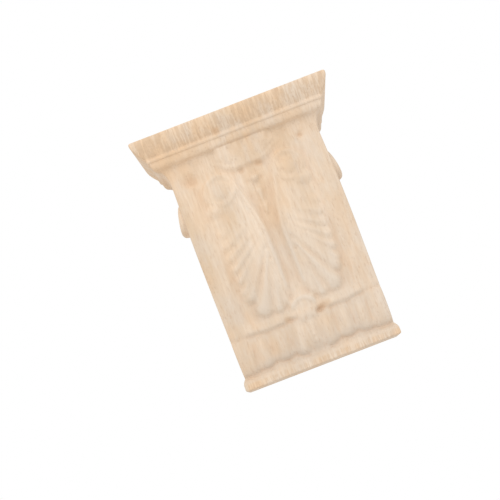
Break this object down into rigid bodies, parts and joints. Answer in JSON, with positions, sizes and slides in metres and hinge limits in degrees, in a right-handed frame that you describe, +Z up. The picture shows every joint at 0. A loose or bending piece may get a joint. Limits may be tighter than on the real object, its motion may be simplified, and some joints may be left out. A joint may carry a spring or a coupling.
{
  "type": "carved wood bracket",
  "caption": "Small raw-wood corbel: moulded cap on three sides, front carved with a shell palmette under two volutes, fluted roll, flared foot, round side bosses, flat back.",
  "frame": {"origin": "middle of the flat back face, where the bracket is fixed to the wall", "axes": "+Z up, -Y out of the carved front, +Y into the wall, +X to the right seen from the front"},
  "size_m": [0.0984, 0.045, 0.126],
  "materials": {
    "raw_wood": "matte, sanded, unfinished"
  },
  "bodies": {
    "root": {"corbel": "raw_wood"}
  },
  "joints": []
}
